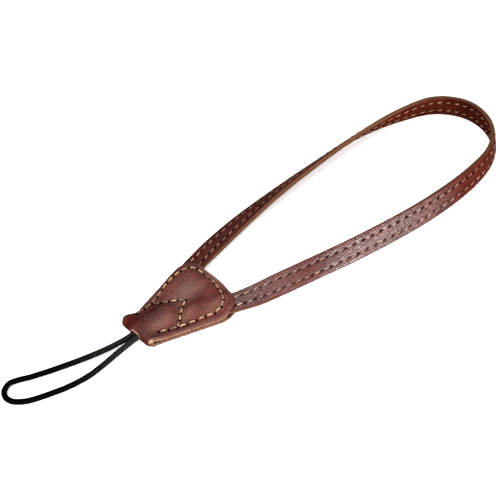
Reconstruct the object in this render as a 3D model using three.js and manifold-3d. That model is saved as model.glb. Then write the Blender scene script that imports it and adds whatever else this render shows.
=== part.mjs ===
// Camera hand strap: a two-ply leather wrist loop, both ends sewn into a folded leather tab, and
// a thin braided cord loop that comes out through a hole in the tab's fold.
//
// Millimetres, +Z up. The strap lies at rest on z = 0. The origin is on that surface under the
// middle of the tab, +X runs from the tab towards the far end of the wrist loop and +Y is to its
// left. The tab and the roots of the strap lie flat; towards its far end the band turns on edge.

import * as THREE from 'three';
import { mergeVertices } from 'three/addons/utils/BufferGeometryUtils.js';
import Module from 'manifold-3d';

const wasm = await Module();
wasm.setup();

const CLEARANCE = 0.3; // gap kept between neighbouring pieces

// --- Tab: one piece of leather folded over at the nose -----------------------------------------
const LEATHER = 2.1; // thickness of the tab's leather
const TAB_LENGTH = 44.2; // from the fold to the middle of the wide end
const NOSE_X = -20.5; // front of the fold
const NOSE_HALF_WIDTH = 7.5;
const SIDE_SLOPE = 0.356; // half-width gained for each millimetre behind the nose
const END_BOW = 4.9; // how far the middle of the wide end stands out past its corners
const CORNER = { start: 0.6, depth: 8.4 }; // rounded corners: from this share of the half-width out
const NOSE_CORNER = { start: 0.86, depth: 0.8 };
const NOSE_FLARE = { out: 0.9, left: 0.7, start: 1, end: 7.5 }; // the fold bulges past the sides
const NOSE_SKEW = 0.9; // the fold is not quite square: its left corner stands forward by this
const ROLL = { depth: 2.7, gap: 1.2, start: 3, end: 9 }; // the fold: nose depth, slot, its fade
const SEAM_GAP = CLEARANCE; // between the two flaps where they are sewn together
const POCKET = { sink: 0.6, height: 2.8 }; // for a strap end: pressed into both flaps
const SLOT_DEPTH = 0.6; // roundness of the slot inside the fold
const FLAP_STEPS = 19; // facets along each flap, and round the fold
const FOLD_STEPS = 6;

// --- Strap: two plies sewn back to back --------------------------------------------------------
const STRAP_WIDTH = 10;
const PLY = 1.05;
const SKIVED_PLY = 0.75; // each ply is pared down where it is sewn into the tab
const SKIVE = { start: 15.5, end: 25 }; // distance from the end over which it thickens again
const PLY_CHAMFER = 0.22;
const STRAP_STEPS = 110;

// Route of the strap's centre, from one sewn end round the loop to the other. tilt turns the band
// about its length: 0 lies flat with the outer ply up, 90 stands on edge with the outer ply
// facing out of the loop. lift is the height of the band's lowest edge.
const STRAP_ROUTE = [
  { x: 9, y: -11, tilt: 0, lift: 1.9 },
  { x: 16, y: -13.4, tilt: 1, lift: 1.85 },
  { x: 22, y: -15.5, tilt: 5, lift: 1.4 },
  { x: 30.5, y: -18.1, tilt: 16, lift: 0.3 },
  { x: 40, y: -20.6, tilt: 29, lift: 0 },
  { x: 54.5, y: -24.2, tilt: 42, lift: 0 },
  { x: 85.5, y: -30.3, tilt: 55, lift: 0 },
  { x: 118, y: -33.5, tilt: 64, lift: 0 },
  { x: 144.5, y: -32, tilt: 76, lift: 0 },
  { x: 160.5, y: -27.4, tilt: 87, lift: 0 },
  { x: 170.8, y: -19.5, tilt: 88, lift: 0 },
  { x: 177.2, y: -7.3, tilt: 92, lift: 0 },
  { x: 177.9, y: 6.4, tilt: 96, lift: 0 },
  { x: 170.7, y: 19.3, tilt: 89, lift: 0 },
  { x: 154.6, y: 26.4, tilt: 69, lift: 0 },
  { x: 131.5, y: 30.4, tilt: 49, lift: 0 },
  { x: 102, y: 29.7, tilt: 38, lift: 0 },
  { x: 74.5, y: 27.6, tilt: 27, lift: 0 },
  { x: 50.5, y: 24.6, tilt: 11, lift: 0.1 },
  { x: 37, y: 21.6, tilt: 4, lift: 0.6 },
  { x: 23, y: 17.1, tilt: 1, lift: 1.6 },
  { x: 16.5, y: 14.6, tilt: 0, lift: 1.85 },
  { x: 9.3, y: 11.7, tilt: 0, lift: 1.9 },
];

// --- Cord: a closed loop whose two ends run side by side into the tab --------------------------
const CORD_DIAMETER = 2.5;
const CORD_SIDES = 8;
const CORD_STEPS = 64;
const HOLE = { y: 0, z: 2.8, spacing: 2.8, depth: 5 }; // through the fold, both strands abreast
const CORD_ROUTE = [
  [-5, 1.4, 3.4],
  [-10.5, 1.4, 3.3],
  [-15.5, 1.4, 2.8],
  [-20.5, 1.4, 2.75],
  [-24.8, 1.7, 2.45],
  [-31.5, 3.3, 1.6],
  [-40.5, 5.6, 1.3],
  [-49, 8.1, 1.3],
  [-57.3, 10.9, 1.3],
  [-65.3, 14, 1.3],
  [-70.3, 16.3, 1.3],
  [-73.8, 17.1, 1.3],
  [-76.6, 15.2, 1.3],
  [-77.3, 11.3, 1.3],
  [-76.6, 7.2, 1.3],
  [-74.6, 4.2, 1.3],
  [-71, 2.3, 1.3],
  [-63, -0.4, 1.3],
  [-54.5, -2.7, 1.3],
  [-45.4, -3.5, 1.3],
  [-37, -2.6, 1.4],
  [-30.5, -1.8, 1.8],
  [-24.8, -1.6, 2.45],
  [-20.5, -1.4, 2.75],
  [-15.5, -1.4, 2.8],
  [-10.5, -1.4, 3.3],
  [-5, -1.4, 3.4],
];

// --- Colours -----------------------------------------------------------------------------------
const TAB_BROWN = new THREE.MeshStandardMaterial({ color: 0x5e2c26, roughness: 0.45, metalness: 0 });
const OUTER_BROWN = new THREE.MeshStandardMaterial({ color: 0x64302a, roughness: 0.45, metalness: 0 });
const INNER_BROWN = new THREE.MeshStandardMaterial({ color: 0x4b2119, roughness: 0.55, metalness: 0 });
const CORD_BLACK = new THREE.MeshStandardMaterial({ color: 0x101210, roughness: 0.6, metalness: 0 });

/** 0 before `from`, 1 past `to`, and a smooth rise between them. */
function rise(value, from, to) {
  return THREE.MathUtils.smoothstep(value, from, to);
}

/** 1 before `from`, 0 past `to`, and a smooth fall between them. */
function fall(value, from, to) {
  return 1 - rise(value, from, to);
}

/** `start` to `end` in `steps` even steps, both ends included. */
function evenly(start, end, steps) {
  return Array.from({ length: steps + 1 }, (_, i) => THREE.MathUtils.lerp(start, end, i / steps));
}

// === Tab =======================================================================================

/** Distance to the left of the middle, `back` behind the nose, at `share` of the half-width. */
function acrossTab(back, share) {
  const flare = fall(back, NOSE_FLARE.start, NOSE_FLARE.end);
  const halfWidth = NOSE_HALF_WIDTH + SIDE_SLOPE * back + NOSE_FLARE.out * flare;
  return share * halfWidth + NOSE_FLARE.left * flare;
}

/** How far a rounded corner draws the outline back at `share` of the half-width. */
function cornerSetback(share, corner) {
  const across = Math.max(0, (Math.abs(share) - corner.start) / (1 - corner.start));
  return corner.depth * (1 - Math.sqrt(1 - across * across));
}

/** Where the wide end lies behind the nose, at `share` of the half-width. */
function wideEnd(share) {
  return TAB_LENGTH - END_BOW * share * share - cornerSetback(share, CORNER);
}

/** Distance across the tab from (back, y) to the centre of the strap end sewn in on that side. */
function offStrap(back, y) {
  const near = y < 0;
  const root = near ? STRAP_ROUTE[0] : STRAP_ROUTE.at(-1);
  const mouth = near ? STRAP_ROUTE[2] : STRAP_ROUTE.at(-3);
  const along = (back + NOSE_X - root.x) / (mouth.x - root.x);
  return Math.abs(y - THREE.MathUtils.lerp(root.y, mouth.y, along));
}

/** 1 in the pocket that holds a strap end, 0 away from it; `soft` widens the flank. */
function strapPocket(back, y, soft) {
  const root = STRAP_ROUTE[0].x - NOSE_X;
  const across = fall(offStrap(back, y), STRAP_WIDTH / 2 + 1.2 - soft, STRAP_WIDTH / 2 + 2.2 + soft);
  return across * rise(back, root - 6.5 - soft, root - 3);
}

/** 1 in the channel that holds the cord's ends, 0 away from it; `soft` widens the flank. */
function cordChannel(back, y, soft) {
  const reach = HOLE.spacing / 2 + CORD_DIAMETER / 2 + CLEARANCE;
  const tip = 25.5 - Math.abs(y); // the channel closes at the arrow-shaped seam across the tab
  return fall(Math.abs(y - HOLE.y), reach, reach + 1.2 + soft) * fall(back, tip - 7, tip);
}

/** Height of the lower flap's inner face. */
function lowerInner(back, y) {
  const holeFloor = HOLE.z - CORD_DIAMETER / 2 - CLEARANCE;
  const floor = THREE.MathUtils.lerp(holeFloor, LEATHER - CLEARANCE, rise(back, 4, 9));
  const groove = (LEATHER - floor) * cordChannel(back, y, 0);
  return LEATHER - Math.max(groove, POCKET.sink * strapPocket(back, y, 0));
}

/** Gap between the flaps where nothing lies between them: wide in the fold, closed at the seam. */
function bareGap(back) {
  return THREE.MathUtils.lerp(SEAM_GAP, ROLL.gap, fall(back, ROLL.start, ROLL.end));
}

/** Height of the upper flap's inner face. */
function upperInner(back, y) {
  const strapRoof = LEATHER - POCKET.sink + POCKET.height;
  const holeRoof = HOLE.z + CORD_DIAMETER / 2 + CLEARANCE;
  const cordRoof = THREE.MathUtils.lerp(holeRoof, 4.95, rise(back, 4, 9));
  const bare = LEATHER + bareGap(back);
  return Math.max(
    bare,
    THREE.MathUtils.lerp(bare, strapRoof, strapPocket(back, y, 0)),
    THREE.MathUtils.lerp(bare, cordRoof, cordChannel(back, y, 0)),
  );
}

/** Height of the tab's outer top: it swells softly over the strap ends and over the cord. */
function top(back, y, share) {
  const sewn = 2 * LEATHER + bareGap(back);
  const pressed = 1.1 * rise(Math.abs(share), 0.78, 1);
  const overStrap = THREE.MathUtils.lerp(sewn, 5.9 - pressed, strapPocket(back, y, 0.9));
  const crown = THREE.MathUtils.lerp(5.9, 6.8, rise(back, 3, 9));
  const overCord = THREE.MathUtils.lerp(sewn, crown, cordChannel(back, y, 2.6));
  const middle = 0.5 * fall(Math.abs(y), 0, 12) * rise(back, 16, 30);
  return Math.max(sewn + middle, overStrap, overCord);
}

/**
 * The folded leather seen from the side at `share` of the half-width, as an outer and an inner
 * path of equally many points, both running along the top to the fold and back underneath.
 */
function tabSection(share) {
  const front = cornerSetback(share, NOSE_CORNER) - NOSE_SKEW * share;
  const end = wideEnd(share);
  const fold = front + ROLL.depth;
  const slot = front + LEATHER + SLOT_DEPTH;
  const across = (back) => acrossTab(back, share);
  const point = (back, height) => new THREE.Vector3(NOSE_X + back, across(back), height);
  const turned = (centre, depth, low, high) => (turn) => {
    const height = THREE.MathUtils.lerp(low, high, (1 + Math.cos(turn)) / 2);
    return point(centre - depth * Math.sin(turn), height);
  };
  const turns = evenly(0, Math.PI, FOLD_STEPS).slice(1, -1);
  const high = upperInner(slot, across(slot));
  const low = lowerInner(slot, across(slot));
  const outer = [
    ...evenly(end, fold, FLAP_STEPS).map((back) => point(back, top(back, across(back), share))),
    ...turns.map(turned(fold, ROLL.depth, 0, top(fold, across(fold), share))),
    ...evenly(fold, end, FLAP_STEPS).map((back) => point(back, 0)),
  ];
  const inner = [
    ...evenly(end, slot, FLAP_STEPS).map((back) => point(back, upperInner(back, across(back)))),
    ...turns.map(turned(slot, SLOT_DEPTH, low, high)),
    ...evenly(slot, end, FLAP_STEPS).map((back) => point(back, lowerInner(back, across(back)))),
  ];
  return { outer, inner };
}

/** A closed body lofted through the sections of a bent sheet. */
function loft(sections) {
  const paths = sections[0].outer.length;
  const ring = 2 * paths;
  const points = sections.flatMap(({ outer, inner }) => [...outer, ...inner.reverse()]);
  const index = [];
  for (let s = 0; s < sections.length - 1; s += 1) {
    for (let i = 0; i < ring; i += 1) {
      const a = s * ring + i;
      const b = s * ring + ((i + 1) % ring);
      index.push(a, a + ring, b, b, a + ring, b + ring);
    }
  }
  const last = (sections.length - 1) * ring;
  for (let i = 0; i < paths - 1; i += 1) {
    const [a, b, c, d] = [i, i + 1, ring - 2 - i, ring - 1 - i];
    index.push(a, b, c, a, c, d);
    index.push(last + a, last + c, last + b, last + a, last + d, last + c);
  }
  const positions = points.flatMap((p) => p.toArray());
  const geometry = new THREE.BufferGeometry();
  geometry.setAttribute('position', new THREE.Float32BufferAttribute(positions, 3));
  geometry.setIndex(index);
  return geometry;
}

/** The hole through the fold: a slot just wide enough for the two strands abreast. */
function cordHole() {
  const radius = CORD_DIAMETER / 2 + CLEARANCE;
  const half = HOLE.spacing / 2;
  const shape = new THREE.Shape();
  shape.absarc(HOLE.y + half, HOLE.z, radius, -Math.PI / 2, Math.PI / 2, false);
  shape.absarc(HOLE.y - half, HOLE.z, radius, Math.PI / 2, 1.5 * Math.PI, false);
  const geometry = new THREE.ExtrudeGeometry(shape, {
    depth: HOLE.depth + 1,
    bevelEnabled: false,
    curveSegments: 8,
  });
  const alongX = new THREE.Matrix4().makeBasis(
    new THREE.Vector3(0, 1, 0),
    new THREE.Vector3(0, 0, 1),
    new THREE.Vector3(1, 0, 0),
  );
  return geometry.applyMatrix4(alongX).translate(NOSE_X - 1, 0, 0);
}

/** A solid for cutting, from a closed geometry. */
function solid(geometry) {
  geometry.deleteAttribute('normal');
  geometry.deleteAttribute('uv');
  const merged = mergeVertices(geometry, 1e-5);
  const vertProperties = new Float32Array(merged.attributes.position.array);
  const triVerts = new Uint32Array(merged.index.array);
  return new wasm.Manifold(new wasm.Mesh({ numProp: 3, vertProperties, triVerts }));
}

/** A geometry again, from a cut solid. */
function fromSolid(body) {
  const { vertProperties, triVerts } = body.getMesh();
  const geometry = new THREE.BufferGeometry();
  geometry.setAttribute('position', new THREE.BufferAttribute(vertProperties, 3));
  geometry.setIndex(new THREE.BufferAttribute(triVerts, 1));
  return geometry;
}

/** The whole tab: sections from edge to edge, closer together round the corners, less the hole. */
function tabGeometry() {
  const flat = evenly(0, CORNER.start, 10);
  const round = evenly(0, Math.PI / 2, 6).slice(1);
  const corner = round.map((turn) => CORNER.start + (1 - CORNER.start) * Math.sin(turn));
  const right = [...flat, ...corner];
  const left = right.slice(1).map((share) => -share).reverse();
  const blank = loft([...left, ...right].map(tabSection));
  return fromSolid(solid(blank).subtract(solid(cordHole())));
}

// === Strap =====================================================================================

const route = new THREE.CatmullRomCurve3(
  STRAP_ROUTE.map(({ x, y }) => new THREE.Vector3(x, y, 0)),
  false,
  'centripetal',
);
route.arcLengthDivisions = 2000;
const stance = new THREE.CatmullRomCurve3(
  STRAP_ROUTE.map(({ tilt, lift }) => new THREE.Vector3(tilt, lift, 0)),
  false,
  'catmullrom',
);
const strapLength = route.getLength();

/** Thickness of one ply at a distance `along` the strap. */
function plyThickness(along) {
  const fromEnd = Math.min(along, strapLength - along);
  return THREE.MathUtils.lerp(SKIVED_PLY, PLY, rise(fromEnd, SKIVE.start, SKIVE.end));
}

/** The band's frame at a share of its length: centre, outward normal and width direction. */
function bandFrame(share) {
  const t = route.getUtoTmapping(share);
  const centre = route.getPoint(t);
  const along = route.getTangent(t);
  const { x: tilt, y: lift } = stance.getPoint(t);
  const turn = THREE.MathUtils.degToRad(tilt);
  const thickness = plyThickness(share * strapLength);
  const total = 2 * thickness + CLEARANCE;
  centre.z =
    lift + (STRAP_WIDTH / 2) * Math.abs(Math.sin(turn)) + (total / 2) * Math.abs(Math.cos(turn));
  const up = new THREE.Vector3(0, 0, 1);
  const outward = new THREE.Vector3().crossVectors(along, up);
  const normal = up.clone().multiplyScalar(Math.cos(turn)).addScaledVector(outward, Math.sin(turn));
  const across = new THREE.Vector3().crossVectors(normal, along);
  return { centre, normal, across, thickness };
}

/** The same closed geometry with every triangle turned over. */
function turnedOver(geometry) {
  const position = geometry.attributes.position;
  const [second, third] = [new THREE.Vector3(), new THREE.Vector3()];
  for (let i = 0; i < position.count; i += 3) {
    second.fromBufferAttribute(position, i + 1);
    third.fromBufferAttribute(position, i + 2);
    position.setXYZ(i + 1, ...third);
    position.setXYZ(i + 2, ...second);
  }
  return geometry;
}

/** One ply, cut straight and then bent along the route. `face` is 1 for the outer, -1 inner. */
function plyGeometry(face) {
  const half = STRAP_WIDTH / 2;
  const cut = PLY_CHAMFER;
  const strip = new THREE.Shape();
  strip.moveTo(-half, cut);
  strip.lineTo(-half + cut, 0);
  strip.lineTo(half - cut, 0);
  strip.lineTo(half, cut);
  strip.lineTo(half, 1 - cut);
  strip.lineTo(half - cut, 1);
  strip.lineTo(-half + cut, 1);
  strip.lineTo(-half, 1 - cut);
  strip.closePath();
  const geometry = new THREE.ExtrudeGeometry(strip, {
    depth: 1,
    steps: STRAP_STEPS,
    bevelEnabled: false,
  });
  const frames = evenly(0, 1, STRAP_STEPS).map(bandFrame);
  const position = geometry.attributes.position;
  for (let i = 0; i < position.count; i += 1) {
    const frame = frames[Math.round(position.getZ(i) * STRAP_STEPS)];
    const height = CLEARANCE / 2 + position.getY(i) * frame.thickness;
    const bent = frame.centre
      .clone()
      .addScaledVector(frame.across, position.getX(i))
      .addScaledVector(frame.normal, face * height);
    position.setXYZ(i, bent.x, bent.y, bent.z);
  }
  return face > 0 ? geometry : turnedOver(geometry);
}

// === Cord ======================================================================================

/** The cord: a tube of few sides along its route. */
function cordGeometry() {
  const path = new THREE.CatmullRomCurve3(CORD_ROUTE.map((p) => new THREE.Vector3(...p)));
  const corners = evenly(0, 2 * Math.PI, CORD_SIDES).slice(0, -1);
  const radius = CORD_DIAMETER / 2;
  const section = new THREE.Shape(
    corners.map((turn) => new THREE.Vector2(radius * Math.cos(turn), radius * Math.sin(turn))),
  );
  return new THREE.ExtrudeGeometry(section, {
    steps: CORD_STEPS,
    extrudePath: path,
    bevelEnabled: false,
  });
}

/** A mesh with the name of its piece. */
function piece(name, geometry, material) {
  const mesh = new THREE.Mesh(geometry, material);
  mesh.name = name;
  return mesh;
}

const handStrap = new THREE.Group();
handStrap.add(
  piece('end_tab', tabGeometry(), TAB_BROWN),
  piece('strap_outer_ply', plyGeometry(1), OUTER_BROWN),
  piece('strap_inner_ply', plyGeometry(-1), INNER_BROWN),
  piece('cord_loop', cordGeometry(), CORD_BLACK),
);

export default handStrap;
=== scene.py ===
"""Camera hand strap: a stitched leather wrist loop whose two ends are sewn into a folded leather
tab, and a braided cord loop that comes out through a hole in the tab's fold.

Sizes are stated in millimetres and become metres when a mesh is made. +X runs from the tab to the
far end of the wrist loop, +Y is to its left and +Z is up from the surface the strap lies on.
"""

import logging
import math
from bisect import bisect_right
from collections.abc import Callable, Iterator, Sequence
from dataclasses import dataclass, field
from enum import Enum
from itertools import accumulate, pairwise
from typing import NamedTuple

import bmesh
import bpy
from mathutils import Matrix, Vector, noise
from mathutils.geometry import interpolate_bezier
from mathutils.kdtree import KDTree


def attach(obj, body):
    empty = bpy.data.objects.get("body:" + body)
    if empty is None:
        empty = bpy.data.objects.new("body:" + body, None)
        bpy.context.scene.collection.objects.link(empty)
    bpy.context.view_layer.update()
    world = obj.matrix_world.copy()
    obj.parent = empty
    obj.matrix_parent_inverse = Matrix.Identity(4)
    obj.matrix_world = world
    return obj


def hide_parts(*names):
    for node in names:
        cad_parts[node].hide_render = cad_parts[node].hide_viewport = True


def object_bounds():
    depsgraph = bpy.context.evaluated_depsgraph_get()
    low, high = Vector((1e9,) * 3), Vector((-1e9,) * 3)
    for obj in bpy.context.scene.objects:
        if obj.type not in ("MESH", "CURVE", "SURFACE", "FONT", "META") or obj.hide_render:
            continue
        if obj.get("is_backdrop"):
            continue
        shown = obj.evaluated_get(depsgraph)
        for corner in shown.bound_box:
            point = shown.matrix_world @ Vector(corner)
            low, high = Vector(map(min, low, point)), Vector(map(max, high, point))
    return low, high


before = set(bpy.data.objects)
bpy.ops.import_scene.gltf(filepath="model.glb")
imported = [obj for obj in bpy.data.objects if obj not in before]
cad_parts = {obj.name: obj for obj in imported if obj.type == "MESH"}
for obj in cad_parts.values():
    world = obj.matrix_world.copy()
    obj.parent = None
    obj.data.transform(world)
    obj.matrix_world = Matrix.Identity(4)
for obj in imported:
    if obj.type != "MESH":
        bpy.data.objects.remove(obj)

CAD_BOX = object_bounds()
LOG = logging.getLogger("hand_strap")
MM = 0.001  # metres in a millimetre
UP = Vector((0, 0, 1))
TINY = 1e-6  # a length that counts as none
RIM = 1e-3  # a share that counts as none


# === Small sums ================================================================================


def rise(value: float, start: float, end: float) -> float:
    """0 before start, 1 past end, and a smooth rise between them."""
    share = min(max((value - start) / (end - start), 0.0), 1.0)
    return share * share * (3 - 2 * share)


def fall(value: float, start: float, end: float) -> float:
    """1 before start, 0 past end, and a smooth fall between them."""
    return 1 - rise(value, start, end)


def mix(low: float, high: float, share: float) -> float:
    """The value at a share of the way from low to high."""
    return low + (high - low) * share


def bump(distance: float, width: float) -> float:
    """1 at no distance, dying away over about a width."""
    return math.exp(-((distance / width) ** 2))


def within(share: float) -> bool:
    """Whether a share lies inside its span, and not at one of its ends."""
    return RIM < share < 1 - RIM


def linear(code: str) -> tuple[float, float, float, float]:
    """A colour written as six hex digits, as linear light with an alpha of one.

    Args:
        code: the colour as six hex digits.

    Returns:
        Its red, green, blue and alpha.
    """
    channels = (int(code[i : i + 2], 16) / 255 for i in (0, 2, 4))
    red, green, blue = (
        c / 12.92 if c < 0.04045 else ((c + 0.055) / 1.055) ** 2.4 for c in channels
    )
    return red, green, blue, 1.0


# === Curves ====================================================================================


def smooth_through(points: Sequence[Vector], steps: int, centripetal: bool) -> list[Vector]:
    """A smooth curve through a row of points.

    Args:
        points: the points, in order.
        steps: how many steps each span between two points gets.
        centripetal: whether the spans are eased by their lengths or treated as equal.

    Returns:
        The points of the curve, the last of the row included.
    """
    row = [2 * points[0] - points[1], *points, 2 * points[-1] - points[-2]]
    curve: list[Vector] = []
    for before, start, end, after in zip(row, row[1:], row[2:], row[3:], strict=False):
        gaps = [1.0, 1.0, 1.0]
        if centripetal:
            gaps = [math.sqrt((b - a).length) for a, b in pairwise((before, start, end, after))]
        first, span, last = gaps
        leaving = (start - before) / first - (end - before) / (first + span) + (end - start) / span
        arriving = (end - start) / span - (after - start) / (span + last) + (after - end) / last
        handles = start + leaving * span / 3, end - arriving * span / 3
        curve += interpolate_bezier(start, *handles, end, steps + 1)[:-1]
    return [*curve, points[-1].copy()]


class Line:
    """A row of points that is looked up by the distance along it."""

    def __init__(self, points: Sequence[Vector]) -> None:
        """Measures the row."""
        self.points = list(points)
        self.marks = [0.0, *accumulate((b - a).length for a, b in pairwise(self.points))]

    @property
    def length(self) -> float:
        """How long the line is."""
        return self.marks[-1]

    def place(self, distance: float) -> tuple[int, float]:
        """The span that a distance falls in, and the share of the way along that span."""
        span = min(max(bisect_right(self.marks, distance) - 1, 0), len(self.points) - 2)
        return span, (distance - self.marks[span]) / (self.marks[span + 1] - self.marks[span])

    def at(self, distance: float) -> Vector:
        """The point at a distance along the line."""
        span, share = self.place(distance)
        return self.points[span].lerp(self.points[span + 1], share)

    def heading(self, distance: float, reach: float = 0.4) -> Vector:
        """The direction in which the line runs at a distance along it."""
        low, high = max(distance - reach, 0.0), min(distance + reach, self.length)
        return (self.at(high) - self.at(low)).normalized()


# === Meshes ====================================================================================


class Cell(NamedTuple):
    """A vertex's place in a lattice: the share of the way along each of its three directions."""

    along: float
    across: float
    deep: float


class Lattice:
    """A block with evenly subdivided faces, whose every vertex is then moved to its place."""

    def __init__(self, along: int, across: int, deep: int) -> None:
        """Cuts the block into so many steps along, across and deep.

        Args:
            along: how many steps it has along.
            across: how many across.
            deep: how many deep.
        """
        self.mesh = bmesh.new()
        bmesh.ops.create_cube(self.mesh, size=1)
        for axis, steps in enumerate((along, across, deep)):
            edges = [e for e in self.mesh.edges if self._runs_along(e, axis)]
            if steps > 1:
                bmesh.ops.subdivide_edges(self.mesh, edges=edges, cuts=steps - 1, use_grid_fill=True)
        self.mesh.verts.index_update()
        self.cells = [Cell(*(c + 0.5 for c in v.co)) for v in self.mesh.verts]

    @staticmethod
    def _runs_along(edge: bmesh.types.BMEdge, axis: int) -> bool:
        """Whether an edge of the block runs along an axis."""
        first, second = edge.verts
        return abs(first.co[axis] - second.co[axis]) > TINY

    def shape(self, place: Callable[[Cell], Vector]) -> None:
        """Moves every vertex to the place, in millimetres, that its cell gets."""
        for vert, cell in zip(self.mesh.verts, self.cells, strict=True):
            vert.co = place(cell) * MM

    def mark(self, name: str, value: Callable[[Cell], float]) -> None:
        """Writes a number for every vertex into a named attribute.

        Args:
            name: the attribute's name.
            value: gives the number of a cell.
        """
        layer = self.mesh.verts.layers.float.new(name)
        for vert, cell in zip(self.mesh.verts, self.cells, strict=True):
            vert[layer] = value(cell)

    def dress(self, slot: Callable[[Cell], int]) -> None:
        """Gives every face the material slot that the middle of its cells gets.

        Args:
            slot: gives the material slot of a cell.
        """
        for face in self.mesh.faces:
            cells = [self.cells[v.index] for v in face.verts]
            middle = Cell(*(sum(part) / len(cells) for part in zip(*cells, strict=True)))
            face.material_index = slot(middle)


def bodies(mesh: bmesh.types.BMesh) -> Iterator[list[bmesh.types.BMFace]]:
    """The faces of each separate body of a mesh.

    Args:
        mesh: the mesh, whose faces are numbered.

    Returns:
        One body after another, each as its faces.
    """
    reached: set[bmesh.types.BMFace] = set()
    for first in mesh.faces:
        if first in reached:
            continue
        reached.add(first)
        body = [first]
        for face in body:  # the body grows while it is walked through
            fresh = {f for edge in face.edges for f in edge.link_faces} - reached
            reached |= fresh
            body.extend(sorted(fresh, key=lambda f: f.index))
        yield body


def turn_outwards(mesh: bmesh.types.BMesh) -> None:
    """Turns the faces of every separate body of a mesh outwards.

    The operator alone can turn a thin band that closes on itself inwards, so the volume decides.

    Args:
        mesh: the mesh.
    """
    mesh.faces.index_update()
    bmesh.ops.recalc_face_normals(mesh, faces=mesh.faces[:])
    for body in bodies(mesh):
        corner = body[0].verts[0].co
        if sum((f.calc_center_median() - corner).dot(f.normal) * f.calc_area() for f in body) < 0:
            bmesh.ops.reverse_faces(mesh, faces=body)


def finished(name: str, mesh: bmesh.types.BMesh, *materials: bpy.types.Material) -> bpy.types.Object:
    """An object at the origin from a finished bmesh.

    Args:
        name: the name of the piece.
        mesh: its mesh, in metres, which is used up.
        materials: its materials, in the order of the faces' slots.

    Returns:
        The new object, smoothly shaded, with its faces pointing outwards.
    """
    turn_outwards(mesh)
    data = bpy.data.meshes.new(name)
    mesh.to_mesh(data)
    mesh.free()
    for material in materials:
        data.materials.append(material)
    data.shade_smooth()
    piece = bpy.data.objects.new(name, data)
    bpy.context.scene.collection.objects.link(piece)
    return piece


# === Finishes ==================================================================================


class Shader:
    """A node material that is put together one node at a time."""

    def __init__(self, name: str) -> None:
        """Starts an empty material with its output.

        Args:
            name: the material's name.
        """
        self.material = bpy.data.materials.new(name)
        self.material.use_nodes = True
        self.tree = self.material.node_tree
        self.tree.nodes.clear()
        self.output = self.tree.nodes.new("ShaderNodeOutputMaterial")

    def add(self, kind: str, inputs: dict | None = None, **settings: object) -> bpy.types.Node:
        """Adds a node.

        Args:
            kind: the node's type, without its ShaderNode prefix.
            inputs: for each of its sockets, the socket that feeds it, a fixed value, or a colour
                as six hex digits.
            settings: the node's own options.

        Returns:
            The new node.
        """
        node = self.tree.nodes.new("ShaderNode" + kind)
        for name, value in settings.items():
            setattr(node, name, value)
        for key, value in (inputs or {}).items():
            if isinstance(value, bpy.types.NodeSocket):
                self.tree.links.new(value, node.inputs[key])
            else:
                fixed = linear(value) if isinstance(value, str) else value
                node.inputs[key].default_value = fixed
        return node

    def place(self) -> bpy.types.NodeSocket:
        """The place on the piece, in metres."""
        return self.add("TexCoord").outputs["Object"]

    def attribute(self, name: str) -> bpy.types.NodeSocket:
        """A number that the piece's mesh carries."""
        return self.add("Attribute", attribute_name=name).outputs["Fac"]

    def clouds(
        self, where: bpy.types.NodeSocket, scale: float, detail: float
    ) -> bpy.types.NodeSocket:
        """Soft noise with a number of features to the metre."""
        inputs = {"Vector": where, "Scale": scale, "Detail": detail, "Roughness": 0.6}
        return self.add("TexNoise", inputs).outputs["Fac"]

    def ranged(
        self, value: bpy.types.NodeSocket, span: Sequence[float], to: Sequence[float] = (0, 1)
    ) -> bpy.types.NodeSocket:
        """A value taken from one span to another, and held at its ends."""
        inputs = {0: value, 1: span[0], 2: span[1], 3: to[0], 4: to[1]}
        return self.add("MapRange", inputs, interpolation_type="SMOOTHSTEP").outputs[0]

    def patches(
        self, where: bpy.types.NodeSocket, scale: float, detail: float, span: Sequence[float],
        to: Sequence[float] = (0, 1),
    ) -> bpy.types.NodeSocket:
        """Soft noise whose values in a span are taken to another one."""
        return self.ranged(self.clouds(where, scale, detail), span, to)

    def sum(self, operation: str, first: object, second: object) -> bpy.types.NodeSocket:
        """Two numbers put together by an operation of the Math node."""
        return self.add("Math", {0: first, 1: second}, operation=operation).outputs[0]

    def times(self, first: object, second: object) -> bpy.types.NodeSocket:
        """Two numbers multiplied."""
        return self.sum("MULTIPLY", first, second)

    def blend(self, share: object, first: object, second: object) -> bpy.types.NodeSocket:
        """Two colours mixed by a share."""
        return self.add("Mix", {0: share, 6: first, 7: second}, data_type="RGBA").outputs[2]

    def relief(
        self, height: bpy.types.NodeSocket, depth: float, under: bpy.types.NodeSocket | None = None
    ) -> bpy.types.NodeSocket:
        """A bump of a depth in metres, on top of another bump if there is one.

        Args:
            height: the height at each place.
            depth: how deep its full height is, in metres.
            under: the bump that it lies on.

        Returns:
            The bent normal.
        """
        inputs = {"Height": height, "Distance": depth, "Strength": 1.0}
        if under is not None:
            inputs["Normal"] = under
        return self.add("Bump", inputs).outputs[0]

    def finish(self, **inputs: object) -> bpy.types.Material:
        """Closes the material with a principled surface, whose sockets are named by keyword.

        Args:
            inputs: the surface's sockets, with an underscore for each space.

        Returns:
            The finished material.
        """
        named = {key.replace("_", " "): value for key, value in inputs.items()}
        surface = self.add("BsdfPrincipled", named)
        self.tree.links.new(surface.outputs[0], self.output.inputs[0])
        return self.material


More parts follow.
